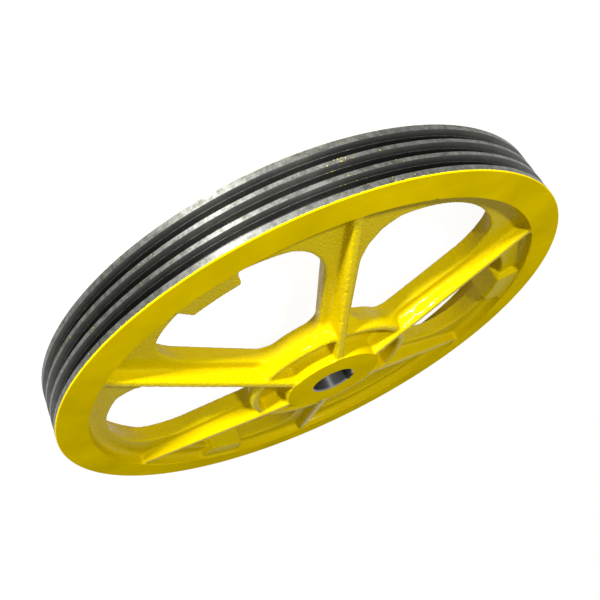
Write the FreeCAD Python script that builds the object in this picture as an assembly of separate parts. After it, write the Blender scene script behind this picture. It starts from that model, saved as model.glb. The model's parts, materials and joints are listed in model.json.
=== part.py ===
"""Spoked sheave for three wire ropes: one iron casting, turned on the rim, the faces and the bore.

Frame: the origin is on the axis in the plane of the rim's rear face, +Z points out of the front
face, and one spoke lies along +Y. Sizes are in millimetres, angles in degrees. The fillets in the
inside corners of the casting are flat bevels of about the same depth.
"""
import FreeCAD, Part
import math
import os

Vector = FreeCAD.Vector

# Rim, turned on the outside and on both faces
rim_outer_diameter = 620.0
rim_thickness = 32.5
rim_width = 56.0
rim_chamfer = 0.8

# Rope grooves: vee flanks that grip the rope, over an undercut slot
groove_count = 3
groove_pitch = 15.5
groove_width = 10.8
groove_angle = 37.0
groove_depth = 12.5
undercut_width = 7.3
undercut_floor_width = 6.4

# Web, a shallow cone that rises from the rim to the hub and grows thinner on the way
web_thickness_at_rim = 23.6
web_thickness_at_hub = 16.6
web_height_at_rim = 41.1
web_drop_at_hub = 24.0
web_rim_bevel = 6.0

# Hub with its bore and keyway
hub_diameter = 119.0
hub_length = 56.0
hub_front_height = 87.0
hub_chamfer = 1.0
hub_foot_bevel = 4.0
bore_diameter = 50.0
bore_chamfer = 1.5
keyway_width = 14.0
keyway_depth = 3.8
keyway_azimuth = -20.0

# Collar ring round the hub
collar_outer_diameter = 202.0
collar_width = 9.5
collar_drop = 9.5
collar_top_bevel = 2.0
collar_foot_bevel = 2.5

# Spokes: a flat arm in the web with a rib on its front
spoke_count = 6
first_spoke_azimuth = 90.0
spoke_width = 43.0
rib_thickness = 10.4
rib_drop_at_rim = 1.8
rib_drop_at_hub = 0.8
rib_top_bevel = 1.5
rib_foot_bevel = 3.0
rib_draft = 3.5
cast_draft = 2.0

# Windows between the spokes: the outline at the web's front, which grows towards the rear
window_rim_margin = 21.0
window_rim_arc_radius = 130.0
window_collar_overlap = 4.5
window_rim_corner = 45.0
window_hub_corner = 18.5
window_draft = 21.8

# Lugs on the inside of the rim, in every second window
lug_count = 3
first_lug_azimuth = 0.0
lug_projection = 28.2
lug_face_length = 52.0
lug_base_length = 68.5
lug_front_height = 52.0
lug_depth = 48.0

# How far added pieces reach into the body that they join, and cutters past the faces they cut
root_depth = 3.0
foot_depth = 0.3
cut_margin = 5.0

rim_outer_radius = rim_outer_diameter / 2
rim_inner_radius = rim_outer_radius - rim_thickness
lug_face_radius = rim_inner_radius - lug_projection
hub_radius = hub_diameter / 2
hub_rear_height = hub_front_height - hub_length
web_height_at_hub = hub_front_height - web_drop_at_hub
collar_height = hub_front_height - collar_drop
bore_radius = bore_diameter / 2
collar_outer_radius = collar_outer_diameter / 2
collar_inner_radius = collar_outer_radius - collar_width
window_rim_reach = rim_inner_radius - window_rim_margin
window_hub_radius = collar_outer_radius - window_collar_overlap
draft_slope = math.tan(math.radians(cast_draft))
rib_draft_slope = math.tan(math.radians(rib_draft))
window_draft_slope = math.tan(math.radians(window_draft))
web_run = rim_inner_radius - hub_radius
web_slope = (web_height_at_hub - web_height_at_rim) / web_run
web_taper = (web_thickness_at_rim - web_thickness_at_hub) / web_run
rib_slope = (hub_front_height - rib_drop_at_hub - rim_width + rib_drop_at_rim) / web_run


def web_front(radius):
    """Height of the web's front surface at a radius."""
    return web_height_at_rim + web_slope * (rim_inner_radius - radius)


def web_rear(radius):
    """Height of the web's rear surface at a radius."""
    return web_front(radius) - web_thickness_at_rim + web_taper * (rim_inner_radius - radius)


def rib_front(radius):
    """Height of a rib's front edge, just below the turned faces of hub and rim."""
    return rim_width - rib_drop_at_rim + rib_slope * (rim_inner_radius - radius)


def bevelled_wire(corners):
    """Closed wire through (point, setback) corners, each cut flat at its setback on both sides."""
    points = []
    for i, (point, setback) in enumerate(corners):
        before = corners[i - 1][0]
        after = corners[(i + 1) % len(corners)][0]
        if setback == 0:
            points.append(point)
        else:
            points.append(point + (before - point).normalize() * setback)
            points.append(point + (after - point).normalize() * setback)
    return Part.makePolygon(points + points[:1])


def revolved(wire):
    """Solid made by turning a closed wire in the XZ plane about the axis."""
    return Part.Face(wire).revolve(Vector(0, 0, 0), Vector(0, 0, 1), 360)


def turned_about_axis(shape, azimuth):
    """Copy of a shape, turned about the sheave's axis."""
    copy = shape.copy()
    copy.rotate(Vector(0, 0, 0), Vector(0, 0, 1), azimuth)
    return copy


def body_corners():
    """Corners of the section of rim, web, collar and hub, without grooves, from the bore outwards."""
    collar_floor = web_front(collar_inner_radius)
    collar_draft = (collar_height - collar_floor) * draft_slope
    hub_draft = (hub_front_height - web_front(hub_radius)) * draft_slope
    hub_rear_draft = (web_rear(hub_radius) - hub_rear_height) * draft_slope
    rim_front_draft = (rim_width - web_height_at_rim) * draft_slope
    rim_rear_draft = web_rear(rim_inner_radius) * draft_slope
    hub_root = hub_radius + hub_draft
    hub_rear_root = hub_radius + hub_rear_draft
    collar_outer_root = collar_outer_radius + collar_draft
    collar_inner_root = collar_inner_radius - collar_draft
    rim_front_root = rim_inner_radius - rim_front_draft
    rim_rear_root = rim_inner_radius - rim_rear_draft
    return [
        (bore_radius, hub_rear_height, bore_chamfer),
        (hub_radius, hub_rear_height, hub_chamfer),
        (hub_rear_root, web_rear(hub_rear_root), hub_foot_bevel),
        (rim_rear_root, web_rear(rim_rear_root), web_rim_bevel),
        (rim_inner_radius, 0, 0),
        (rim_outer_radius, 0, rim_chamfer),
        (rim_outer_radius, rim_width, rim_chamfer),
        (rim_inner_radius, rim_width, 0),
        (rim_front_root, web_front(rim_front_root), web_rim_bevel),
        (collar_outer_root, web_front(collar_outer_root), collar_foot_bevel),
        (collar_outer_radius, collar_height, collar_top_bevel),
        (collar_inner_radius, collar_height, collar_top_bevel),
        (collar_inner_root, web_front(collar_inner_root), collar_foot_bevel),
        (hub_root, web_front(hub_root), hub_foot_bevel),
        (hub_radius, hub_front_height, hub_chamfer),
        (bore_radius, hub_front_height, bore_chamfer),
    ]


def make_body():
    """Rim, web, collar and hub as one turned section."""
    corners = [(Vector(radius, 0, height), setback) for radius, height, setback in body_corners()]
    return revolved(bevelled_wire(corners))


def make_groove(height):
    """Cutter of one rope groove, with its centre at a height."""
    flank_slope = math.tan(math.radians(groove_angle / 2))
    outside = rim_outer_radius + cut_margin
    slot_edge = rim_outer_radius - (groove_width - undercut_width) / 2 / flank_slope
    floor = rim_outer_radius - groove_depth
    half_section = [
        (outside, groove_width / 2 + cut_margin * flank_slope),
        (slot_edge, undercut_width / 2),
        (floor, undercut_floor_width / 2),
    ]
    front = [Vector(radius, 0, height + offset) for radius, offset in half_section]
    rear = [Vector(radius, 0, height - offset) for radius, offset in reversed(half_section)]
    return revolved(Part.makePolygon(front + rear + front[:1]))


def window_outline(height):
    """Outline at a height of the window along +X. Its sides are turned a little, so that with the
    draft each spoke keeps its width all along the web's sloping front."""
    middle = (window_rim_reach + window_hub_radius) / 2
    side_growth = window_draft_slope * (web_front(middle) - height)
    rim_growth = window_draft_slope * (web_front(window_rim_reach) - height)
    hub_growth = window_draft_slope * (web_front(window_hub_radius) - height)
    half_step = math.radians(180.0 / spoke_count)
    half_angle = half_step - math.atan(window_draft_slope * web_slope)
    side_x = middle * math.cos(half_step) + spoke_width / 2 * math.sin(half_step)
    side_y = middle * math.sin(half_step) - spoke_width / 2 * math.cos(half_step)
    apex = side_x - side_y / math.tan(half_angle) - side_growth / math.sin(half_angle)
    reach = rim_outer_radius
    side = reach * math.tan(half_angle)
    points = [Vector(apex, 0, height), Vector(apex + reach, side, height)]
    points += [Vector(apex + reach, -side, height), points[0]]
    wedge = Part.Face(Part.makePolygon(points)).extrude(Vector(0, 0, 1))
    rim_centre = Vector(window_rim_reach - window_rim_arc_radius, 0, height)
    rim_side = Part.makeCylinder(window_rim_arc_radius + rim_growth, 1, rim_centre)
    hub_side = Part.makeCylinder(window_hub_radius - hub_growth, 1, Vector(0, 0, height))
    window = wedge.common(rim_side).cut(hub_side)
    uprights = [edge for edge in window.Edges if is_upright(edge)]
    rim_corners = [edge for edge in uprights if edge.CenterOfMass.x > middle]
    window = window.makeFillet(window_rim_corner + rim_growth, rim_corners)
    uprights = [edge for edge in window.Edges if is_upright(edge)]
    hub_corners = [edge for edge in uprights if edge.CenterOfMass.x < middle]
    hub_corners.sort(key=lambda edge: edge.CenterOfMass.x)
    window = window.makeFillet(window_hub_corner + hub_growth, hub_corners[:2])
    return min(window.Faces, key=lambda face: face.CenterOfMass.z).OuterWire


def is_upright(edge):
    """True for an edge along the axis."""
    return abs(edge.Vertexes[0].Point.z - edge.Vertexes[-1].Point.z) > 0.5


def window_wall(upper, lower):
    """Face between matching edges of a window's outline at two heights, a plane or a cone."""
    start, end = upper.Vertexes[0].Point, upper.Vertexes[-1].Point
    feet = sorted((vertex.Point for vertex in lower.Vertexes), key=start.distanceToPoint)
    if isinstance(upper.Curve, Part.Line):
        return Part.Face(Part.makePolygon([start, end, feet[-1], feet[0], start]))
    centre = upper.Curve.Center
    first, last = start - centre, end - centre
    angle = math.atan2(first.cross(last).z, first.dot(last))
    return Part.makeLine(start, feet[0]).revolve(centre, Vector(0, 0, 1), math.degrees(angle))


def make_window():
    """Cutter of the window next to the first spoke, with drafted walls."""
    top = collar_height + cut_margin
    bottom = min(web_rear(rim_inner_radius), web_rear(hub_radius)) - cut_margin
    upper, lower = window_outline(top), window_outline(bottom)
    walls = [window_wall(*edges) for edges in zip(upper.OrderedEdges, lower.OrderedEdges)]
    shell = Part.Shell(walls + [Part.Face(upper), Part.Face(lower)])
    shell.sewShape()
    window = Part.Solid(shell)
    if window.Volume < 0:
        window.reverse()
    return turned_about_axis(window, first_spoke_azimuth + 180.0 / spoke_count)


def make_rib():
    """Rib on the first spoke, with drafted sides, a bevelled front and a bevelled foot on the web."""
    inner_end = hub_radius - root_depth
    outer_end = rim_inner_radius + root_depth
    height = rib_front(inner_end) - web_front(inner_end)
    half_front = rib_thickness / 2
    half_foot = half_front + height * rib_draft_slope
    half_base = half_foot + 2 * rib_foot_bevel
    start = Vector(inner_end, 0, web_front(inner_end) - foot_depth)

    def at(offset, rise):
        return start + Vector(0, offset, rise)

    corners = [
        (at(-half_base, -rib_foot_bevel), 0),
        (at(half_base, -rib_foot_bevel), 0),
        (at(half_base, 0), 0),
        (at(half_foot, 0), rib_foot_bevel),
        (at(half_front, height + foot_depth), 0),
        (at(-half_front, height + foot_depth), 0),
        (at(-half_foot, 0), rib_foot_bevel),
        (at(-half_base, 0), 0),
    ]
    run = outer_end - inner_end
    rib = Part.Face(bevelled_wire(corners)).extrude(Vector(run, 0, -web_slope * run))
    rib = rib.cut(above_rib())
    front_edges = [edge for edge in rib.Edges if is_long_front_edge(edge)]
    rib = rib.makeChamfer(rib_top_bevel, front_edges)
    return turned_about_axis(rib, first_spoke_azimuth)


def above_rib():
    """Cutter of everything in front of a rib's front edge, in the frame of a rib along +X."""
    reach = rim_outer_radius
    points = [
        Vector(0, -reach, rib_front(0)),
        Vector(reach, -reach, rib_front(reach)),
        Vector(reach, -reach, rib_front(0) + reach),
        Vector(0, -reach, rib_front(0) + reach),
    ]
    return Part.Face(Part.makePolygon(points + points[:1])).extrude(Vector(0, 2 * reach, 0))


def is_long_front_edge(edge):
    """True for an edge that runs the length of a rib along its front."""
    first, last = edge.Vertexes[0].Point, edge.Vertexes[-1].Point
    if abs(first.x - last.x) < rim_thickness:
        return False
    return all(abs(point.z - rib_front(point.x)) < 0.001 for point in (first, last))


def make_lug():
    """Lug on the inside of the rim, with bevelled ends."""
    root_radius = rim_inner_radius + root_depth
    half_face = math.asin(lug_face_length / 2 / lug_face_radius)
    half_base = math.asin(lug_base_length / 2 / rim_inner_radius)
    bottom = lug_front_height - lug_depth

    def at(radius, angle):
        return Vector(radius * math.cos(angle), radius * math.sin(angle), bottom)

    edges = [
        Part.Arc(at(lug_face_radius, -half_face), at(lug_face_radius, 0), at(lug_face_radius, half_face)),
        Part.LineSegment(at(lug_face_radius, half_face), at(root_radius, half_base)),
        Part.Arc(at(root_radius, half_base), at(root_radius, 0), at(root_radius, -half_base)),
        Part.LineSegment(at(root_radius, -half_base), at(lug_face_radius, -half_face)),
    ]
    outline = Part.Wire([edge.toShape() for edge in edges])
    lug = Part.Face(outline).extrude(Vector(0, 0, lug_depth))
    return turned_about_axis(lug, first_lug_azimuth)


def make_keyway():
    """Cutter of the keyway, open at both ends of the bore."""
    height = hub_length + 2 * cut_margin
    corner = Vector(0, -keyway_width / 2, hub_rear_height - cut_margin)
    keyway = Part.makeBox(bore_radius + keyway_depth, keyway_width, height, corner)
    return turned_about_axis(keyway, keyway_azimuth)


def pattern(shape, count):
    """Copies of a shape, evenly spaced about the axis."""
    return [turned_about_axis(shape, 360.0 * i / count) for i in range(count)]


def make_sheave():
    """The whole casting, machined."""
    windows = pattern(make_window(), spoke_count)
    first_groove = rim_width / 2 - groove_pitch * (groove_count - 1) / 2
    grooves = [make_groove(first_groove + groove_pitch * i) for i in range(groove_count)]
    sheave = make_body().cut(windows + grooves)
    added = pattern(make_rib(), spoke_count) + pattern(make_lug(), lug_count)
    sheave = sheave.fuse(added)
    sheave = sheave.cut(make_keyway())
    return sheave.removeSplitter()


os.makedirs("parts", exist_ok=True)
make_sheave().exportStep("parts/sheave.step")
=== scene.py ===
"""Wire rope sheave: an iron casting that is turned on the rim, the faces and the bore, and painted.

The work follows the foundry and the lathe. The rough casting comes out of a distance field with
soft fillets, the turned envelope and the bore are cut from it, and the surfaces get paint or bare
metal.
"""
import json
import math

import bmesh
import bpy
from bpy.props import FloatProperty, FloatVectorProperty, IntProperty, PointerProperty
from mathutils import Matrix, Vector


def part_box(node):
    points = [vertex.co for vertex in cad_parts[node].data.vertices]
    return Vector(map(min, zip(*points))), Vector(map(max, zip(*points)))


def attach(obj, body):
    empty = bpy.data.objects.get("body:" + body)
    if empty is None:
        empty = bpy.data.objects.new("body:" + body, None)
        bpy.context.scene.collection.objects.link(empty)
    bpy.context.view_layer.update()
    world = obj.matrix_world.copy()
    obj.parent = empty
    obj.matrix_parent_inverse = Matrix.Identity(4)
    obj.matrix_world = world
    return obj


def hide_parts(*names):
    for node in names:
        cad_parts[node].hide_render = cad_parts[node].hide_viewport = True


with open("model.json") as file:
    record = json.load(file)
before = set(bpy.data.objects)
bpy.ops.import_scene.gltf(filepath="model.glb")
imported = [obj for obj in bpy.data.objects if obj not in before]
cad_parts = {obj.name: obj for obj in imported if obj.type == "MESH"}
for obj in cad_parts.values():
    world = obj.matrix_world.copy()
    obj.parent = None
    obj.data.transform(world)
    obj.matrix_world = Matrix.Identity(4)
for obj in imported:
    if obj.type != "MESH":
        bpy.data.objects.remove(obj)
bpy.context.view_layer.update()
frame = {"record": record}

bl_info = {
    "name": "Wire rope sheave",
    "version": (1, 0, 0),
    "blender": (4, 5, 0),
    "location": "3D View > Sidebar > Sheave",
    "description": "Casts, turns, paints and lights a spoked sheave for wire ropes",
    "category": "Object",
}

MM = 0.001

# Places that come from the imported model: its box and its mounts
node_low, node_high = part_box("sheave")
mounts = {mount["name"]: mount for mount in frame["record"]["mounts"]}
rim_outer_radius = node_high.x
hub_front_height = node_high.z
hub_rear_height = mounts["hub_rear_face"]["pos_m"][2]
bore_radius = mounts["bore"]["dims"]["r_mm"] * MM


def length_prop(name, description, millimetres):
    """A length that shows in the panel with its unit."""
    return FloatProperty(name=name, description=description, default=millimetres * MM,
                         unit="LENGTH", precision=4)


def angle_prop(name, description, degrees):
    """An angle that shows in the panel in degrees."""
    return FloatProperty(name=name, description=description, default=math.radians(degrees),
                         subtype="ANGLE")


def place_prop(name, description, metres):
    """A point in space, in metres."""
    return FloatVectorProperty(name=name, description=description, default=metres, unit="LENGTH")


def colour_prop(name, description, linear_rgb):
    """A colour without alpha, picked from the colour wheel."""
    return FloatVectorProperty(name=name, description=description, default=linear_rgb,
                               subtype="COLOR", min=0.0, max=1.0)


def own_properties(group):
    """The properties that a settings group declares itself, by key."""
    inherited = ("rna_type", "name")
    return {key: item for key, item in group.bl_rna.properties.items() if key not in inherited}


class CastingSizes(bpy.types.PropertyGroup):
    """Sizes of the rough casting."""

    voxel: length_prop("Voxel", "Grid step of the distance field", 1.7)
    rim_inner_radius: length_prop("Rim inner radius", "Radius of the rim's inner wall", 277.5)
    rim_width: length_prop("Rim width", "Distance between the rim's turned faces", 56.0)
    turning_allowance: length_prop("Turning allowance", "Iron left on for turning", 2.0)
    web_thickness_at_rim: length_prop("Web thickness at rim", "Web's thickness at the rim", 25.4)
    web_thickness_at_hub: length_prop("Web thickness at hub", "Web's thickness at the hub", 19.3)
    web_height_at_rim: length_prop("Web height at rim", "Web's front surface at the rim", 42.0)
    web_height_at_hub: length_prop("Web height at hub", "Web's front surface at the hub", 65.2)
    web_rim_fillet: length_prop("Web to rim fillet", "Fillet between web and rim", 8.0)
    hub_radius: length_prop("Hub radius", "Radius of the hub at its faces", 59.5)
    hub_fillet: length_prop("Hub fillet", "Fillet between web and hub", 6.0)
    collar_middle_radius: length_prop("Collar radius", "Middle radius of the collar ring", 96.25)
    collar_width: length_prop("Collar width", "Radial width of the collar ring", 9.5)
    collar_height: length_prop("Collar height", "Top of the collar ring", 77.5)
    collar_outer_round: length_prop("Collar outer round", "Round on the ring's outer edge", 4.5)
    collar_inner_fillet: length_prop("Collar inner fillet", "Fillet at its foot, hub side", 3.0)
    collar_outer_fillet: length_prop("Collar outer fillet", "Fillet at its foot, rim side", 10.0)
    spoke_count: IntProperty(name="Spokes", description="Number of spokes", default=6, min=3)
    spoke_width: length_prop("Spoke width", "Width of a spoke's flat arm", 38.4)
    rib_thickness: length_prop("Rib thickness", "Thickness of a rib at its front edge", 9.6)
    rib_drop_at_rim: length_prop("Rib drop at rim", "Rib front edge below the rim's face", 1.8)
    rib_drop_at_hub: length_prop("Rib drop at hub", "Rib front edge below the hub's face", 0.8)
    rib_fillet: length_prop("Rib fillet", "Fillet at a rib's foot and ends", 3.0)
    window_rim_reach: length_prop("Window reach", "Radius of a window's outer end", 257.0)
    window_rim_arc_radius: length_prop("Window arc radius", "Radius of its curved outer end", 128.7)
    window_hub_radius: length_prop("Window inner radius", "Radius of its hub end", 98.6)
    window_rim_corner: length_prop("Window rim corner", "Round of the corners at the rim", 39.0)
    window_hub_corner: length_prop("Window hub corner", "Round of the corners at the hub", 14.0)
    window_edge_round: length_prop("Window edge round", "Round on a window's edges", 3.0)
    parting_height: length_prop("Parting height", "Parting line above the web's rear face", 4.0)
    lug_count: IntProperty(name="Lugs", description="Number of lugs in the rim", default=3, min=1)
    lug_face_radius: length_prop("Lug face radius", "Radius of a lug's inner face", 249.3)
    lug_face_length: length_prop("Lug face length", "Length of a lug's inner face", 52.0)
    lug_base_length: length_prop("Lug base length", "Length of a lug at the rim", 68.5)
    lug_depth: length_prop("Lug depth", "Depth of a lug along the axis", 48.0)
    edge_round: length_prop("Edge round", "Round on the casting's other edges", 1.8)
    waviness: length_prop("Waviness", "Depth of the mould's unevenness", 0.25)
    swells: FloatProperty(name="Swells", description="Swells of the mould per metre", default=28.0)
    adaptivity: FloatProperty(name="Adaptivity", description="Thinning of flat areas", default=0.05)
    draft: angle_prop("Draft", "Draft of the cast walls", 2.0)
    rib_draft: angle_prop("Rib draft", "Draft of the ribs' sides", 3.5)
    window_draft: angle_prop("Window draft", "Draft of a window's two ends", 26.7)
    spoke_draft: angle_prop("Spoke draft", "Draft of a window's two sides", 14.4)


class TurningSizes(bpy.types.PropertyGroup):
    """Sizes of the surfaces that the lathe and the broach cut."""

    groove_count: IntProperty(name="Grooves", description="Number of grooves", default=3, min=1)
    groove_pitch: length_prop("Groove pitch", "Distance between grooves", 15.5)
    groove_width: length_prop("Groove width", "Width of a groove at the land", 10.8)
    groove_angle: angle_prop("Groove angle", "Angle between a groove's flanks", 37.0)
    groove_depth: length_prop("Groove depth", "Depth of the undercut's floor", 12.5)
    undercut_width: length_prop("Undercut width", "Width of the undercut slot", 7.3)
    undercut_floor_width: length_prop("Undercut floor", "Width of the slot's floor", 6.4)
    undercut_lip: length_prop("Undercut lip", "Small bevel on the edge of the undercut", 0.5)
    rim_chamfer: length_prop("Rim chamfer", "Chamfer of the rim's corners", 0.8)
    land_chamfer: length_prop("Land chamfer", "Chamfer between lands and grooves", 0.4)
    bore_chamfer: length_prop("Bore chamfer", "Chamfer of the bore's mouths", 1.5)
    keyway_width: length_prop("Keyway width", "Width of the keyway", 14.0)
    keyway_depth: length_prop("Keyway depth", "Depth of the keyway below the bore", 3.8)
    keyway_azimuth: angle_prop("Keyway azimuth", "Direction of the keyway", -20.0)


class FinishColours(bpy.types.PropertyGroup):
    """Colours of the paint and of the bare iron."""

    paint: colour_prop("Paint", "Gloss paint on the casting", (0.70, 0.54, 0.0))
    paint_shade: colour_prop("Thick paint", "Paint where it lies thick or dusty", (0.66, 0.48, 0.0))
    paint_glint: colour_prop("Paint glint", "Tint of the paint's reflection", (1.0, 0.9, 0.35))
    # The turned faces' paint is brighter than the cast paint: painted light that makes up for the
    # lamps' low angle on these faces
    lit_turned_paint: colour_prop("Face paint", "Paint on the turned faces", (0.90, 0.655, 0.0))
    land: colour_prop("Lands", "Bare turned iron of the lands", (0.24, 0.24, 0.225))
    land_dark: colour_prop("Land pits", "Pits and stains on the lands", (0.10, 0.10, 0.083))
    groove: colour_prop("Grooves", "Turned iron in the grooves", (0.07, 0.07, 0.068))
    bore: colour_prop("Bore", "Turned iron in the bore", (0.16, 0.17, 0.18))


class StageSettings(bpy.types.PropertyGroup):
    """Camera, light and floor."""

    camera_place: place_prop("Camera place", "Where the camera stands", (-0.2002, 0.6673, 0.2983))
    camera_target: place_prop("Camera target", "Where it looks", (-0.0529, 0.1370, 0.0560))
    camera_roll: angle_prop("Camera roll", "Turn of the camera about its line of sight", 153.78)
    camera_lens: FloatProperty(name="Lens", description="Focal length in mm on a 36 mm frame",
                               default=36.42)
    camera_shift: FloatVectorProperty(name="Shift", description="Shift of the frame", size=2,
                                      default=(0.0167, 0.0333))
    floor_radius: length_prop("Floor radius", "Radius of the pale floor", 8000.0)
    floor_gap: length_prop("Floor gap", "Distance of the floor below the sheave", 0.2)
    world_strength: FloatProperty(name="World strength", description="Light from all round",
                                  default=0.32)
    lamp_target: place_prop("Lamp target", "Point that the lamps look at", (0.0, 0.0, 0.04))
    key_place: place_prop("Key place", "Where the main lamp stands", (0.12, 1.68, 0.78))
    key_size: length_prop("Key size", "Side of the square main lamp", 160.0)
    key_power: FloatProperty(name="Key power", description="Power of the main lamp in watts",
                             default=20.0)
    side_place: place_prop("Side place", "Where the side lamp stands", (-0.80, 1.62, 0.075))
    side_size: length_prop("Side size", "Side of the square side lamp", 120.0)
    side_power: FloatProperty(name="Side power", description="Power of the side lamp in watts",
                              default=46.0)


class Field:
    """A number that varies over space: a socket of a node tree that arithmetic builds on."""

    def __init__(self, socket):
        self.socket = socket

    def __add__(self, other):
        return combine("ADD", self, other)

    def __radd__(self, other):
        return combine("ADD", other, self)

    def __sub__(self, other):
        return combine("SUBTRACT", self, other)

    def __rsub__(self, other):
        return combine("SUBTRACT", other, self)

    def __mul__(self, other):
        return combine("MULTIPLY", self, other)

    def __truediv__(self, other):
        return combine("DIVIDE", self, other)

    def __rtruediv__(self, other):
        return combine("DIVIDE", other, self)

    def __abs__(self):
        return combine("ABSOLUTE", self)


def combine(operation, *values):
    """A Math node on fields and plain numbers, with at least one field among them."""
    tree = next(value.socket.id_data for value in values if isinstance(value, Field))
    node = tree.nodes.new("ShaderNodeMath")
    node.operation = operation
    for socket, value in zip(node.inputs, values):
        if isinstance(value, Field):
            tree.links.new(value.socket, socket)
        else:
            socket.default_value = value
    return Field(node.outputs[0])


def larger(a, b):
    """The larger of two fields: what two solids share."""
    return combine("MAXIMUM", a, b)


def smaller(a, b):
    """The smaller of two fields: two solids together."""
    return combine("MINIMUM", a, b)


def distance(a, b):
    """Length of the vector (a, b)."""
    return combine("SQRT", a * a + b * b)


def joined(a, b, fillet):
    """Two solids together, with a round fillet in the corner between them."""
    corner = distance(larger(fillet - a, 0.0), larger(fillet - b, 0.0))
    return larger(smaller(a, b), fillet) - corner


def shared(a, b, edge_round):
    """What two solids share, with a round on the edge between them."""
    edge = distance(larger(a + edge_round, 0.0), larger(b + edge_round, 0.0))
    return smaller(larger(a, b), 0.0 - edge_round) + edge


class CastingTree:
    """Geometry Nodes tree that fills a distance field of the rough casting and skins it.

    A distance is negative inside the iron. Angles fold into one spoke or one lug, so what repeats
    is written once.
    """

    def __init__(self):
        self.tree = bpy.data.node_groups.new("rough_casting", "GeometryNodeTree")
        sockets = self.tree.interface
        sockets.new_socket("Geometry", in_out="OUTPUT", socket_type="NodeSocketGeometry")
        self.group_input = self.tree.nodes.new("NodeGroupInput")
        self.position = add_node(self.tree, "GeometryNodeInputPosition").outputs["Position"]
        split = add_node(self.tree, "ShaderNodeSeparateXYZ", {"Vector": self.position})
        x, y, self.z = (Field(socket) for socket in split.outputs)
        self.radius = distance(x, y)
        self.angle = combine("ARCTAN2", y, x)

    def size(self, name, kind="NodeSocketFloat"):
        """A named input of the tree, as a field."""
        self.tree.interface.new_socket(name, in_out="INPUT", socket_type=kind)
        return Field(self.group_input.outputs[name])

    def folded(self, count, first):
        """Distances along and across the nearest of count equal spokes, the first at an angle."""
        step = 2 * math.pi / count
        turn = combine("FLOORED_MODULO", self.angle + step * 0.5 - first, step) - step * 0.5
        along = self.radius * combine("COSINE", turn)
        across = abs(self.radius * combine("SINE", turn))
        return along, across

    def build(self):
        """Links the whole tree and gives it back."""
        size = self.size
        rim_inner = size("Rim inner radius")
        rim_width = size("Rim width")
        allowance = size("Turning allowance")
        edge_round = size("Edge round")
        draft = combine("TANGENT", size("Draft"))
        rib_draft = combine("TANGENT", size("Rib draft"))
        window_draft = combine("TANGENT", size("Window draft"))
        spoke_draft = combine("TANGENT", size("Spoke draft"))
        hub_radius = size("Hub radius")
        hub_front = size("Hub front height")
        hub_rear = size("Hub rear height")

        # The web: a cone, thinner towards the hub. Depth counts down from its front surface
        web_run = rim_inner - hub_radius
        from_rim = (rim_inner - self.radius) / web_run
        height_at_rim = size("Web height at rim")
        rise = size("Web height at hub") - height_at_rim
        thickness_at_rim = size("Web thickness at rim")
        taper = thickness_at_rim - size("Web thickness at hub")
        thickness = thickness_at_rim - taper * from_rim
        depth = height_at_rim + rise * from_rim - self.z
        web_root = depth - thickness * 0.5
        slab = larger(0.0 - depth, depth - thickness) / distance(rise / web_run, 1.0)

        # The collar ring, with a larger round and fillet on its outside than on its inside
        collar_top = size("Collar height")
        from_collar = self.radius - size("Collar radius")
        collar_half = size("Collar width") * 0.5
        collar_side = abs(from_collar) - collar_half - (collar_top - self.z) * draft
        inner_fillet = size("Collar inner fillet")
        outside = smaller(larger(from_collar / inner_fillet, 0.0), 1.0)
        inner_round = edge_round * 0.5
        collar_round = inner_round + (size("Collar outer round") - inner_round) * outside
        collar = shared(collar_side, self.z - collar_top, collar_round)
        collar_fillet = inner_fillet + (size("Collar outer fillet") - inner_fillet) * outside
        slab = joined(slab, larger(collar, web_root), collar_fillet)

        # The windows, which get wider from the parting line to the front
        spoke_count = size("Spokes", "NodeSocketInt")
        along, across = self.folded(spoke_count, math.pi / 2)
        window_middle = math.pi / spoke_count + math.pi / 2
        window_along, window_across = self.folded(spoke_count, window_middle)
        arc_radius = size("Window arc radius")
        drawn = smaller(depth, thickness - size("Parting height"))
        growth = drawn * window_draft
        window_side = size("Spoke width") * 0.5 - across - drawn * spoke_draft
        from_arc = window_along - size("Window reach") + arc_radius
        window_rim = distance(from_arc, window_across) - arc_radius - growth
        window = shared(window_side, window_rim, size("Window rim corner"))
        window_hub = size("Window inner radius") - self.radius - growth
        window = shared(window, window_hub, size("Window hub corner"))
        web = shared(slab, 0.0 - window, size("Window edge round"))
        web = larger(web, self.radius - rim_inner - allowance)

        # The rim and the hub, with iron left on for turning
        rim_middle = rim_width * 0.5
        from_rim_middle = abs(self.z - rim_middle)
        rim_wall = rim_inner - self.radius - (rim_middle - from_rim_middle) * draft
        rim_skin = self.radius - size("Rim outer radius") - allowance
        rim = larger(larger(rim_wall, rim_skin), from_rim_middle - rim_middle - allowance)
        casting = joined(web, rim, size("Web to rim fillet"))

        hub_middle = (hub_front + hub_rear) * 0.5
        hub_half = (hub_front - hub_rear) * 0.5
        from_hub_middle = abs(self.z - hub_middle)
        hub_wall = self.radius - hub_radius - (hub_half - from_hub_middle) * draft
        hub = larger(hub_wall, from_hub_middle - hub_half - allowance)
        casting = joined(casting, hub, size("Hub fillet"))

        # The ribs, which rise from the rim to the hub
        rib_low = rim_width - size("Rib drop at rim")
        rib_high = hub_front - size("Rib drop at hub")
        rib_front = rib_low + (rib_high - rib_low) * (rim_inner - along) / web_run
        rib_side = across - size("Rib thickness") * 0.5 - (rib_front - self.z) * rib_draft
        rib = shared(rib_side, self.z - rib_front, edge_round)
        rib_ends = larger(along - rim_inner - allowance * 2.0, hub_radius * 0.5 - along)
        rib = larger(larger(rib, web_root), rib_ends)
        rib_fillet = size("Rib fillet")
        casting = joined(casting, rib, rib_fillet)

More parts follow.
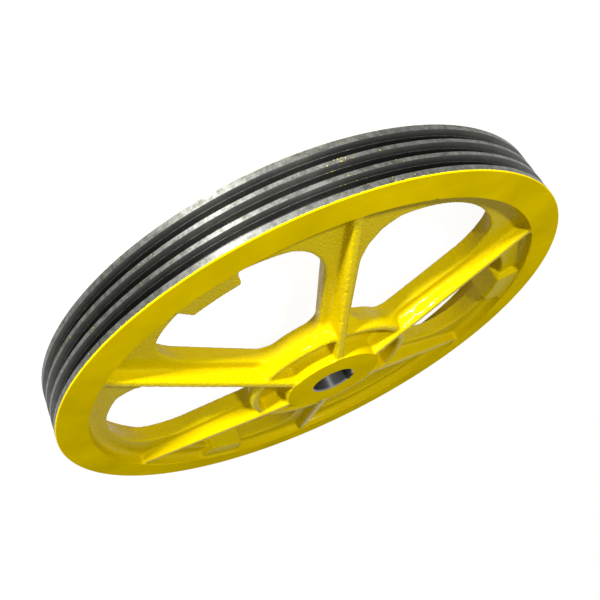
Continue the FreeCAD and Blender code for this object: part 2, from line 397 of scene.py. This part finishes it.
        # The lugs inside the rim
        lug_count = size("Lugs", "NodeSocketInt")
        _, lug_across = self.folded(lug_count, 0.0)
        lug_face = size("Lug face radius")
        face_half = size("Lug face length") * 0.5
        flare = (size("Lug base length") * 0.5 - face_half) / (rim_inner - lug_face)
        lug_side = lug_across - face_half - (self.radius - lug_face) * flare
        lug = shared(lug_face - self.radius, lug_side, edge_round * 1.5)
        lug = shared(lug, from_rim_middle - size("Lug depth") * 0.5, edge_round)
        lug = larger(lug, self.radius - rim_inner - allowance)
        casting = joined(casting, lug, rib_fillet)

        self.skin(casting + self.unevenness())
        return self.tree

    def unevenness(self):
        """Slow swelling of the cast surface, as a sand mould leaves it."""
        inputs = {"Vector": self.position, "Scale": self.size("Swells").socket, "Detail": 2.0}
        swells = add_node(self.tree, "ShaderNodeTexNoise", inputs)
        return (Field(swells.outputs[0]) - 0.5) * self.size("Waviness") * 2.0

    def skin(self, casting):
        """Fills a grid with the distance field and turns its zero surface into a mesh."""
        surface = 0.5
        voxel = self.size("Voxel")
        low = self.size("Low corner", "NodeSocketVector").socket
        high = self.size("High corner", "NodeSocketVector").socket
        density = surface - casting / voxel
        grid = {"Density": density.socket, "Min": low, "Max": high}
        span = add_node(self.tree, "ShaderNodeVectorMath", {0: high, 1: low}, operation="SUBTRACT")
        split = add_node(self.tree, "ShaderNodeSeparateXYZ", {"Vector": span.outputs["Vector"]})
        for axis, extent in zip("XYZ", split.outputs):
            steps = combine("ROUND", Field(extent) / voxel) + 1.0
            grid[f"Resolution {axis}"] = steps.socket
        cube = add_node(self.tree, "GeometryNodeVolumeCube", grid)
        inputs = {
            "Volume": cube.outputs["Volume"],
            "Threshold": surface,
            "Adaptivity": self.size("Adaptivity").socket,
        }
        mesh = add_node(self.tree, "GeometryNodeVolumeToMesh", inputs, resolution_mode="GRID")
        inputs = {"Geometry": mesh.outputs["Mesh"]}
        realize = add_node(self.tree, "GeometryNodeRealizeInstances", inputs)
        material = self.size("Material", "NodeSocketMaterial").socket
        inputs = {"Geometry": realize.outputs["Geometry"], "Material": material}
        paint = add_node(self.tree, "GeometryNodeSetMaterial", inputs)
        add_node(self.tree, "NodeGroupOutput", {"Geometry": paint.outputs["Geometry"]})


def grid_corner(sign):
    """Corner of the grid round the rough casting, with room for the turning allowance."""
    margin = 6 * MM
    corner = node_high if sign > 0 else node_low
    return tuple(value + sign * margin for value in corner)


def casting_inputs(sizes):
    """Values of the casting tree's named inputs: each size by its label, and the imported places."""
    values = {item.name: getattr(sizes, key) for key, item in own_properties(sizes).items()}
    values.update({
        "Rim outer radius": rim_outer_radius,
        "Hub front height": hub_front_height,
        "Hub rear height": hub_rear_height,
        "Low corner": grid_corner(-1),
        "High corner": grid_corner(1),
        "Material": FINISHES["cast_paint"],
    })
    return values


def new_object(name, mesh):
    """A mesh as an object in the scene, at the origin."""
    piece = bpy.data.objects.new(name, mesh)
    bpy.context.scene.collection.objects.link(piece)
    return piece


def evaluated_mesh(piece):
    """Plain mesh of an object with its modifiers applied."""
    bpy.context.view_layer.update()
    graph = bpy.context.evaluated_depsgraph_get()
    return bpy.data.meshes.new_from_object(piece.evaluated_get(graph))


def make_rough_casting(sizes):
    """The rough casting as a plain mesh object."""
    tree = CastingTree().build()
    piece = new_object("sheave_casting", bpy.data.meshes.new("sheave_casting"))
    modifier = piece.modifiers.new("Casting", "NODES")
    modifier.node_group = tree
    values = casting_inputs(sizes)
    for item in tree.interface.items_tree:
        if item.in_out == "INPUT":
            modifier[item.identifier] = values[item.name]
    mesh = evaluated_mesh(piece)
    if not mesh.polygons:
        raise RuntimeError("the casting's distance field gave no surface")
    piece.modifiers.clear()
    piece.data = mesh
    return piece


FINISH_NAMES = ("cast_paint", "lit_turned_paint", "land", "groove", "bore")
FINISHES = {}


def add_finishes(mesh):
    """Gives a mesh without materials every finish as a slot, in one order."""
    for name in FINISH_NAMES:
        mesh.materials.append(FINISHES[name])


RIM_SEGMENTS = 288
BORE_SEGMENTS = 128
CREASE_ANGLE = math.radians(28)
MERGE_DISTANCE = 0.02 * MM


def turned_solid(name, section, segments):
    """Closed solid of revolution about the Z axis from (radius, height, finish) points.

    A point's finish is that of the surface that runs from it to the next point. The first and the
    last point lie on the axis.
    """
    solid = bmesh.new()
    rings = []
    for radius, height, _ in section:
        if radius == 0:
            rings.append([solid.verts.new((0, 0, height))])
            continue
        angles = (2 * math.pi * step / segments for step in range(segments))
        points = ((radius * math.cos(a), radius * math.sin(a), height) for a in angles)
        rings.append([solid.verts.new(point) for point in points])
    for index, (first, second) in enumerate(zip(rings, rings[1:])):
        finish = FINISH_NAMES.index(section[index][2])
        for step in range(segments):
            following = (step + 1) % segments
            corners = [first[step % len(first)], first[following % len(first)]]
            corners += [second[following % len(second)], second[step % len(second)]]
            unique = list(dict.fromkeys(corners))
            solid.faces.new(unique).material_index = finish
    bmesh.ops.recalc_face_normals(solid, faces=solid.faces)
    mesh = bpy.data.meshes.new(name)
    solid.to_mesh(mesh)
    solid.free()
    add_finishes(mesh)
    return new_object(name, mesh)


def groove_section(sizes, centre):
    """Points of one rope groove, from its front edge to its rear edge.

    The two halves mirror each other, so each point has the finish that follows it in the front half
    and the one that follows it in the rear half.
    """
    flank_width = (sizes.groove_width - sizes.undercut_width) / 2
    slot_radius = rim_outer_radius - flank_width / math.tan(sizes.groove_angle / 2)
    floor_radius = rim_outer_radius - sizes.groove_depth
    lip = sizes.undercut_lip
    half = [
        (rim_outer_radius, sizes.groove_width / 2 + sizes.land_chamfer, "groove", "land"),
        (rim_outer_radius - sizes.land_chamfer, sizes.groove_width / 2, "groove", "groove"),
        (slot_radius, sizes.undercut_width / 2 + lip / 2, "land", "groove"),
        (slot_radius - lip, sizes.undercut_width / 2, "groove", "land"),
        (floor_radius, sizes.undercut_floor_width / 2, "groove", "groove"),
    ]
    front = [(radius, centre + offset, finish) for radius, offset, finish, _ in half]
    rear = [(radius, centre - offset, finish) for radius, offset, _, finish in reversed(half)]
    return front + rear


def turned_envelope(casting, turning):
    """Solid of revolution that the lathe leaves: hub faces, rim faces, lands and grooves."""
    chamfer = turning.rim_chamfer
    hub_reach = casting.hub_radius + 4 * MM
    rim_reach = casting.rim_inner_radius - 3 * MM
    clear_of_hub = hub_front_height + 8 * MM
    clear_of_rim = casting.rim_width + 6 * MM
    clear_rear = -6 * MM
    section = [
        (0, hub_front_height, "lit_turned_paint"),
        (hub_reach, hub_front_height, "cast_paint"),
        (hub_reach, clear_of_hub, "cast_paint"),
        (rim_reach, clear_of_rim, "cast_paint"),
        (rim_reach, casting.rim_width, "lit_turned_paint"),
        (rim_outer_radius - chamfer, casting.rim_width, "lit_turned_paint"),
        (rim_outer_radius, casting.rim_width - chamfer, "land"),
    ]
    first = casting.rim_width / 2 + turning.groove_pitch * (turning.groove_count - 1) / 2
    for index in range(turning.groove_count):
        section += groove_section(turning, first - index * turning.groove_pitch)
    section += [
        (rim_outer_radius, chamfer, "land"),
        (rim_outer_radius - chamfer, 0, "lit_turned_paint"),
        (rim_reach, 0, "cast_paint"),
        (rim_reach, clear_rear, "cast_paint"),
        (hub_reach, clear_rear, "cast_paint"),
        (hub_reach, hub_rear_height, "lit_turned_paint"),
        (0, hub_rear_height, "lit_turned_paint"),
    ]
    return turned_solid("turned_envelope", section, RIM_SEGMENTS)


def bore_cutter(turning):
    """Cutter of the bore with a chamfer at both mouths."""
    chamfer = turning.bore_chamfer
    over = 1 * MM
    section = [
        (0, hub_front_height + over, "bore"),
        (bore_radius + chamfer + over, hub_front_height + over, "bore"),
        (bore_radius, hub_front_height - chamfer, "bore"),
        (bore_radius, hub_rear_height + chamfer, "bore"),
        (bore_radius + chamfer + over, hub_rear_height - over, "bore"),
        (0, hub_rear_height - over, "bore"),
    ]
    return turned_solid("bore_cutter", section, BORE_SEGMENTS)


def keyway_cutter(turning):
    """Cutter of the keyway, open at both ends."""
    reach = bore_radius + turning.keyway_depth
    over = 5 * MM
    height = hub_front_height - hub_rear_height + 2 * over
    solid = bmesh.new()
    bmesh.ops.create_cube(solid, size=1.0)
    place = Matrix.Rotation(turning.keyway_azimuth, 4, "Z")
    place @= Matrix.Translation((reach / 2, 0, hub_rear_height - over + height / 2))
    place @= Matrix.Diagonal((reach, turning.keyway_width, height, 1))
    bmesh.ops.transform(solid, matrix=place, verts=solid.verts)
    for face in solid.faces:
        face.material_index = FINISH_NAMES.index("bore")
    mesh = bpy.data.meshes.new("keyway_cutter")
    solid.to_mesh(mesh)
    solid.free()
    add_finishes(mesh)
    return new_object("keyway_cutter", mesh)


def machine(piece, operation, tool):
    """Applies one boolean cut to a piece and removes the tool."""
    modifier = piece.modifiers.new("Machining", "BOOLEAN")
    modifier.object = tool
    modifier.operation = operation
    modifier.solver = "MANIFOLD"
    modifier.material_mode = "INDEX"
    mesh = evaluated_mesh(piece)
    if not mesh.polygons:
        raise RuntimeError(f"cutting with {tool.name} left nothing")
    piece.modifiers.clear()
    piece.data = mesh
    bpy.data.objects.remove(tool)


def crease(mesh):
    """Smooth shading on cast skin, sharp edges where a turned surface bends or begins."""
    cast = FINISH_NAMES.index("cast_paint")
    shape = bmesh.new()
    shape.from_mesh(mesh)
    bmesh.ops.remove_doubles(shape, verts=shape.verts, dist=MERGE_DISTANCE)
    for face in shape.faces:
        face.smooth = True
    for edge in shape.edges:
        faces = edge.link_faces
        both_cast = all(face.material_index == cast for face in faces)
        edge.smooth = both_cast or edge.calc_face_angle(math.pi) < CREASE_ANGLE
    shape.to_mesh(mesh)
    shape.free()


def make_sheave(casting, turning):
    """The finished sheave: the rough casting, turned, bored and keyed."""
    piece = make_rough_casting(casting)
    piece.data.materials.clear()
    add_finishes(piece.data)
    machine(piece, "INTERSECT", turned_envelope(casting, turning))
    machine(piece, "DIFFERENCE", bore_cutter(turning))
    machine(piece, "DIFFERENCE", keyway_cutter(turning))
    crease(piece.data)
    return piece


def feed(tree, node, inputs):
    """Fills a node's inputs: a socket is linked, anything else is a value."""
    for name, value in inputs.items():
        if isinstance(value, bpy.types.NodeSocket):
            tree.links.new(value, node.inputs[name])
        else:
            node.inputs[name].default_value = value


def add_node(tree, kind, inputs=None, **settings):
    """A node with its settings and inputs."""
    node = tree.nodes.new(kind)
    for name, value in settings.items():
        setattr(node, name, value)
    feed(tree, node, inputs or {})
    return node


# How fine each pattern is, as noise scale per metre
PAINT_PATCHES = 22.0
FACE_PATCHES = 14.0
LAND_MOTTLE = 150.0
LAND_PITS = 700.0
GROOVE_STAINS = 90.0
SPRAY_EDGE = 420.0
SPRAY_SPECKS = 620.0
SPRAY_PATCHES = 16.0

# How fine the turning marks are, as noise scale per pitch of the tool
TOOL_LINES = 0.8
TOOL_STREAKS = 0.13


def new_group(name, inputs, outputs):
    """An empty shader node group with named sockets, and its input and output nodes."""
    group = bpy.data.node_groups.new(name, "ShaderNodeTree")
    for socket, kind, default in inputs:
        item = group.interface.new_socket(socket, in_out="INPUT", socket_type=kind)
        if default is not None:
            item.default_value = default
    for socket, kind in outputs:
        group.interface.new_socket(socket, in_out="OUTPUT", socket_type=kind)
    return group, group.nodes.new("NodeGroupInput"), group.nodes.new("NodeGroupOutput")


def noise(tree, vector, scale, detail=2.0, roughness=0.5):
    """Value of a noise texture."""
    inputs = {"Vector": vector, "Scale": scale, "Detail": detail, "Roughness": roughness}
    return add_node(tree, "ShaderNodeTexNoise", inputs).outputs["Fac"]


def ramp(tree, value, low, high):
    """0 below low, 1 above high and a straight rise between."""
    inputs = {"Value": value, "From Min": low, "From Max": high}
    return add_node(tree, "ShaderNodeMapRange", inputs).outputs["Result"]


def spread(tree, value, low, high):
    """A value from 0 to 1 spread over the range from low to high."""
    inputs = {"Value": value, "To Min": low, "To Max": high}
    return add_node(tree, "ShaderNodeMapRange", inputs).outputs["Result"]


def calculate(tree, operation, *values):
    """Result of a Math node on sockets and numbers."""
    inputs = dict(enumerate(values))
    return add_node(tree, "ShaderNodeMath", inputs, operation=operation).outputs["Value"]


def blend_colour(tree, share, first, second):
    """Mix of two colours, given as sockets or as linear RGB."""
    node = tree.nodes.new("ShaderNodeMix")
    node.data_type = "RGBA"
    for identifier, value in (("Factor_Float", share), ("A_Color", first), ("B_Color", second)):
        socket = next(s for s in node.inputs if s.identifier == identifier)
        if isinstance(value, bpy.types.NodeSocket):
            tree.links.new(value, socket)
        elif identifier == "Factor_Float":
            socket.default_value = value
        else:
            socket.default_value = (*value, 1.0)
    return next(s for s in node.outputs if s.identifier == "Result_Color")


def make_sand_grain_group():
    """Relief of a sand-cast skin under paint: fine grains, coarser pocks and slow patches."""
    group, given, result = new_group(
        "sand_grain",
        [("Vector", "NodeSocketVector", None), ("Grain size", "NodeSocketFloat", 1.1 * MM)],
        [("Height", "NodeSocketFloat"), ("Patches", "NodeSocketFloat")],
    )
    vector = given.outputs["Vector"]
    scale = calculate(group, "DIVIDE", 1.0, given.outputs["Grain size"])
    fine = noise(group, vector, scale, detail=3.0, roughness=0.6)
    grains = add_node(group, "ShaderNodeTexVoronoi", {"Vector": vector, "Scale": scale})
    pocks = ramp(group, grains.outputs["Distance"], 0.1, 0.75)
    patches = noise(group, vector, PAINT_PATCHES, detail=3.0, roughness=0.6)
    relief = calculate(group, "MULTIPLY_ADD", pocks, 0.5, fine)
    group.links.new(relief, result.inputs["Height"])
    group.links.new(patches, result.inputs["Patches"])
    return group


def make_turning_group():
    """Fine rings that a lathe tool leaves about the axis, as relief and as streaks."""
    group, given, result = new_group(
        "turning_marks",
        [("Vector", "NodeSocketVector", None), ("Pitch", "NodeSocketFloat", 0.6 * MM)],
        [("Height", "NodeSocketFloat"), ("Streaks", "NodeSocketFloat")],
    )
    split = add_node(group, "ShaderNodeSeparateXYZ", {"Vector": given.outputs["Vector"]})
    squares = [calculate(group, "MULTIPLY", split.outputs[i], split.outputs[i]) for i in (0, 1)]
    radius = calculate(group, "SQRT", calculate(group, "ADD", *squares))
    ring = calculate(group, "DIVIDE", radius, given.outputs["Pitch"])
    level = calculate(group, "DIVIDE", split.outputs["Z"], given.outputs["Pitch"])
    place = add_node(group, "ShaderNodeCombineXYZ", {"X": ring, "Y": level})
    lines = noise(group, place.outputs["Vector"], TOOL_LINES, roughness=0.6)
    slow = noise(group, place.outputs["Vector"], TOOL_STREAKS, detail=3.0, roughness=0.6)
    group.links.new(lines, result.inputs["Height"])
    group.links.new(slow, result.inputs["Streaks"])
    return group


def make_overspray_group():
    """Mask of paint specks and ragged paint edges on bare metal near the rim's two faces."""
    group, given, result = new_group(
        "overspray",
        [
            ("Vector", "NodeSocketVector", None),
            ("Front height", "NodeSocketFloat", 56.0 * MM),
            ("Edge reach", "NodeSocketFloat", 1.2 * MM),
            ("Speck amount", "NodeSocketFloat", 0.1),
        ],
        [("Mask", "NodeSocketFloat")],
    )
    vector = given.outputs["Vector"]
    split = add_node(group, "ShaderNodeSeparateXYZ", {"Vector": vector})
    to_front = calculate(group, "SUBTRACT", given.outputs["Front height"], split.outputs["Z"])
    rear_margin = 0.9 * MM
    to_rear = calculate(group, "ADD", split.outputs["Z"], rear_margin)
    to_face = calculate(group, "MINIMUM", to_front, to_rear)
    ragged = noise(group, vector, SPRAY_EDGE, detail=3.0, roughness=0.7)
    reach = calculate(group, "MULTIPLY", ragged, given.outputs["Edge reach"])
    reach = calculate(group, "MULTIPLY", reach, 2.0)
    edge = calculate(group, "LESS_THAN", to_face, reach)
    specks = noise(group, vector, SPRAY_SPECKS, detail=1.0, roughness=0.5)
    patches = ramp(group, noise(group, vector, SPRAY_PATCHES), 0.45, 0.7)
    amount = calculate(group, "MULTIPLY", patches, given.outputs["Speck amount"])
    speck_threshold = 0.80
    limit = calculate(group, "SUBTRACT", speck_threshold, amount)
    speck = calculate(group, "GREATER_THAN", specks, limit)
    mask = calculate(group, "MAXIMUM", edge, speck)
    group.links.new(mask, result.inputs["Mask"])
    return group


GROUP_MAKERS = {
    "sand_grain": make_sand_grain_group,
    "turning_marks": make_turning_group,
    "overspray": make_overspray_group,
}


def use_group(tree, name, inputs):
    """Places a shared node group in a material, making the group the first time."""
    group = bpy.data.node_groups.get(name) or GROUP_MAKERS[name]()
    return add_node(tree, "ShaderNodeGroup", inputs, node_tree=group)


def start_material(name):
    """An empty node material: its tree, its Principled BSDF and the object coordinates."""
    material = bpy.data.materials.new(name)
    material.use_nodes = True
    tree = material.node_tree
    shader = tree.nodes["Principled BSDF"]
    coordinates = tree.nodes.new("ShaderNodeTexCoord").outputs["Object"]
    return material, tree, shader, coordinates


def add_bump(tree, shader, height, depth):
    """Relief of a given depth in metres on a shader."""
    inputs = {"Height": height, "Distance": depth, "Strength": 1.0}
    bump = add_node(tree, "ShaderNodeBump", inputs)
    tree.links.new(bump.outputs["Normal"], shader.inputs["Normal"])


def paint_gloss(colours, level):
    """Inputs for the paint's weak reflection, mostly in the paint's own colour."""
    tint = (*colours.paint_glint, 1.0)
    return {"Specular IOR Level": level, "Metallic": 0.02, "Specular Tint": tint}


def make_cast_paint(colours):
    """Gloss paint over the sand-cast skin."""
    material, tree, shader, coordinates = start_material("cast_paint")
    grain = use_group(tree, "sand_grain", {"Vector": coordinates, "Grain size": 2.6 * MM})
    patches = grain.outputs["Patches"]
    thick = ramp(tree, patches, 0.35, 0.8)
    feed(tree, shader, {
        "Base Color": blend_colour(tree, thick, colours.paint, colours.paint_shade),
        "Roughness": spread(tree, patches, 0.14, 0.3),
        "Coat Weight": 0.07,
        "Coat Roughness": 0.1,
        **paint_gloss(colours, 0.02),
    })
    add_bump(tree, shader, grain.outputs["Height"], 0.65 * MM)
    return material


def make_lit_turned_paint(colours):
    """The same paint, smooth on turned faces, in a brighter colour: painted light where the lamps
    fall at a low angle.
    """
    material, tree, shader, coordinates = start_material("lit_turned_paint")
    marks = use_group(tree, "turning_marks", {"Vector": coordinates, "Pitch": 0.9 * MM})
    patches = noise(tree, coordinates, FACE_PATCHES, detail=3.0, roughness=0.6)
    thick = ramp(tree, patches, 0.3, 0.8)
    feed(tree, shader, {
        # Brighter face paint: painted light on the faces that the lamps light at a low angle
        "Base Color": blend_colour(tree, thick, colours.lit_turned_paint, colours.paint_shade),
        "Roughness": 0.42,
        **paint_gloss(colours, 0.0),
    })
    add_bump(tree, shader, marks.outputs["Height"], 0.02 * MM)
    return material


def turned_metal(tree):
    """Inputs for turned metal, whose reflection is drawn out along the axis, across the marks."""
    tangent = add_node(tree, "ShaderNodeTangent", direction_type="RADIAL", axis="Z")
    return {
        "Tangent": tangent.outputs["Tangent"],
        "Anisotropic": 0.75,
        "Anisotropic Rotation": 0.25,
    }


def make_land(colours):
    """Bare turned iron of the lands: mottled, pitted and specked with paint."""
    material, tree, shader, coordinates = start_material("land")
    marks = use_group(tree, "turning_marks", {"Vector": coordinates, "Pitch": 0.5 * MM})
    spray = use_group(tree, "overspray", {"Vector": coordinates, "Speck amount": 0.12})
    mottle = noise(tree, coordinates, LAND_MOTTLE, detail=5.0, roughness=0.75)
    pits = noise(tree, coordinates, LAND_PITS, detail=2.0, roughness=0.6)
    stain = calculate(tree, "MAXIMUM", ramp(tree, pits, 0.62, 0.70), ramp(tree, mottle, 0.4, 0.64))
    metal = blend_colour(tree, stain, colours.land, colours.land_dark)
    feed(tree, shader, {
        "Base Color": blend_colour(tree, spray.outputs["Mask"], metal, colours.paint),
        "Metallic": calculate(tree, "SUBTRACT", 1.0, spray.outputs["Mask"]),
        "Roughness": spread(tree, marks.outputs["Streaks"], 0.45, 0.62),
        **turned_metal(tree),
    })
    add_bump(tree, shader, marks.outputs["Height"], 0.03 * MM)
    return material


def make_groove(colours):
    """Turned iron in the grooves, darker and with clear tool rings."""
    material, tree, shader, coordinates = start_material("groove")
    marks = use_group(tree, "turning_marks", {"Vector": coordinates, "Pitch": 0.7 * MM})
    stains = noise(tree, coordinates, GROOVE_STAINS, detail=3.0, roughness=0.6)
    stain = ramp(tree, stains, 0.4, 0.8)
    feed(tree, shader, {
        "Base Color": blend_colour(tree, stain, colours.groove, colours.land_dark),
        "Metallic": 1.0,
        "Roughness": spread(tree, marks.outputs["Streaks"], 0.3, 0.5),
        **turned_metal(tree),
    })
    add_bump(tree, shader, marks.outputs["Height"], 0.03 * MM)
    return material


def make_bore(colours):
    """Finely turned dark iron in the bore and the keyway."""
    material, tree, shader, coordinates = start_material("bore")
    marks = use_group(tree, "turning_marks", {"Vector": coordinates, "Pitch": 0.4 * MM})
    feed(tree, shader, {
        "Base Color": blend_colour(tree, marks.outputs["Streaks"], colours.bore, colours.land),
        "Metallic": 1.0,
        "Roughness": 0.35,
        **turned_metal(tree),
    })
    add_bump(tree, shader, marks.outputs["Height"], 0.02 * MM)
    return material


FINISH_MAKERS = {
    "cast_paint": make_cast_paint,
    "lit_turned_paint": make_lit_turned_paint,
    "land": make_land,
    "groove": make_groove,
    "bore": make_bore,
}


def seen_directly(tree):
    """1 on camera, glossy and transmission rays, 0 on all others."""
    path = tree.nodes.new("ShaderNodeLightPath")
    seen = calculate(tree, "ADD", path.outputs["Is Camera Ray"], path.outputs["Is Glossy Ray"])
    return calculate(tree, "ADD", seen, path.outputs["Is Transmission Ray"])


# Brightness of the floor: its own colour, and its shaded and unshaded share where it is seen
FLOOR_COLOUR = 0.9
FLOOR_SHADE = 0.22
FLOOR_GLOW = 0.93


def grey(level):
    """A grey as linear RGB with alpha."""
    return (level, level, level, 1.0)


def make_floor_material():
    """Pale floor that looks white to the camera and in reflections, and still keeps its shadow."""
    material, tree, shader, _ = start_material("floor_white")
    feed(tree, shader, {"Base Color": grey(FLOOR_COLOUR), "Roughness": 0.9})
    shade = add_node(tree, "ShaderNodeBsdfDiffuse", {"Color": grey(FLOOR_SHADE)})
    glow = add_node(tree, "ShaderNodeEmission", {"Color": grey(1.0), "Strength": FLOOR_GLOW})
    shown = add_node(tree, "ShaderNodeAddShader", {0: shade.outputs[0], 1: glow.outputs[0]})
    inputs = {0: seen_directly(tree), 1: shader.outputs[0], 2: shown.outputs[0]}
    mix = add_node(tree, "ShaderNodeMixShader", inputs)
    tree.links.new(mix.outputs[0], tree.nodes["Material Output"].inputs["Surface"])
    return material


def make_floor(settings):
    """Round pale floor just below the sheave's rear face."""
    disc = bmesh.new()
    bmesh.ops.create_circle(disc, cap_ends=True, segments=64, radius=settings.floor_radius)
    bmesh.ops.translate(disc, verts=disc.verts, vec=(0, 0, node_low.z - settings.floor_gap))
    mesh = bpy.data.meshes.new("floor")
    disc.to_mesh(mesh)
    disc.free()
    mesh.materials.append(make_floor_material())
    floor = new_object("floor", mesh)


def make_world(settings):
    """Even light from all round, white to the camera and in reflections."""
    world = bpy.data.worlds.new("studio")
    world.use_nodes = True
    tree = world.node_tree
    added = calculate(tree, "MULTIPLY", seen_directly(tree), 1.0 - settings.world_strength)
    strength = calculate(tree, "ADD", added, settings.world_strength)
    feed(tree, tree.nodes["Background"], {"Color": grey(1.0), "Strength": strength})
    bpy.context.scene.world = world


def aim(place, target, roll=0.0):
    """Matrix of what stands at a place and looks at a target, turned about its line of sight."""
    turn = (Vector(target) - Vector(place)).to_track_quat("-Z", "Y").to_matrix().to_4x4()
    return Matrix.Translation(place) @ turn @ Matrix.Rotation(roll, 4, "Z")


def make_camera(settings):
    """Camera at the photograph's viewing angle."""
    data = bpy.data.cameras.new("camera")
    data.sensor_width = 36.0
    data.lens = settings.camera_lens
    data.shift_x, data.shift_y = settings.camera_shift
    data.clip_end = 50.0
    camera = bpy.data.objects.new("camera", data)
    looks_at = settings.camera_target
    camera.matrix_world = aim(settings.camera_place, looks_at, settings.camera_roll)
    bpy.context.scene.collection.objects.link(camera)
    bpy.context.scene.camera = camera


def make_lamp(name, place, target, size, power):
    """Square soft lamp that looks at a target."""
    data = bpy.data.lights.new(name, "AREA")
    data.shape = "SQUARE"
    data.size = size
    data.energy = power
    lamp = bpy.data.objects.new(name, data)
    lamp.matrix_world = aim(place, target)
    bpy.context.scene.collection.objects.link(lamp)


class SHEAVE_OT_make_finishes(bpy.types.Operator):
    """Makes the paint and bare iron finishes"""

    bl_idname = "sheave.make_finishes"
    bl_label = "Make finishes"

    def execute(self, context):
        for name in FINISH_NAMES:
            FINISHES[name] = FINISH_MAKERS[name](context.scene.sheave_colours)
        return {"FINISHED"}


class SHEAVE_OT_make_sheave(bpy.types.Operator):
    """Casts the sheave, turns it and puts it in place of the plain model"""

    bl_idname = "sheave.make_sheave"
    bl_label = "Cast and turn the sheave"

    def execute(self, context):
        piece = make_sheave(context.scene.sheave_casting, context.scene.sheave_turning)
        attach(piece, "root")
        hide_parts("sheave")
        return {"FINISHED"}


class SHEAVE_OT_make_stage(bpy.types.Operator):
    """Adds the floor, the lights and the camera"""

    bl_idname = "sheave.make_stage"
    bl_label = "Make stage"

    def execute(self, context):
        settings = context.scene.sheave_stage
        make_floor(settings)
        make_world(settings)
        target = settings.lamp_target
        make_lamp("key", settings.key_place, target, settings.key_size, settings.key_power)
        make_lamp("side", settings.side_place, target, settings.side_size, settings.side_power)
        make_camera(settings)
        context.scene.view_settings.view_transform = "Standard"
        return {"FINISHED"}


class SHEAVE_PT_panel(bpy.types.Panel):
    """Lists the steps that make the sheave, and its sizes"""

    bl_idname = "SHEAVE_PT_panel"
    bl_label = "Wire rope sheave"
    bl_space_type = "VIEW_3D"
    bl_region_type = "UI"
    bl_category = "Sheave"

    def draw(self, context):
        for operator in OPERATORS:
            self.layout.operator(operator.bl_idname)
        for settings in SETTINGS:
            box = self.layout.box()
            group = getattr(context.scene, settings)
            for key in own_properties(group):
                box.prop(group, key)


SETTINGS = {
    "sheave_casting": CastingSizes,
    "sheave_turning": TurningSizes,
    "sheave_colours": FinishColours,
    "sheave_stage": StageSettings,
}
OPERATORS = (SHEAVE_OT_make_finishes, SHEAVE_OT_make_sheave, SHEAVE_OT_make_stage)


def register():
    for settings in SETTINGS.values():
        bpy.utils.register_class(settings)
    for operator in OPERATORS:
        bpy.utils.register_class(operator)
    bpy.utils.register_class(SHEAVE_PT_panel)
    for name, settings in SETTINGS.items():
        setattr(bpy.types.Scene, name, PointerProperty(type=settings))


def unregister():
    for name in SETTINGS:
        delattr(bpy.types.Scene, name)
    bpy.utils.unregister_class(SHEAVE_PT_panel)
    for operator in reversed(OPERATORS):
        bpy.utils.unregister_class(operator)
    for settings in reversed(SETTINGS.values()):
        bpy.utils.unregister_class(settings)


def main():
    """Makes the whole scene."""
    register()
    bpy.ops.sheave.make_finishes()
    bpy.ops.sheave.make_sheave()
    bpy.ops.sheave.make_stage()


if __name__ == "__main__":
    main()
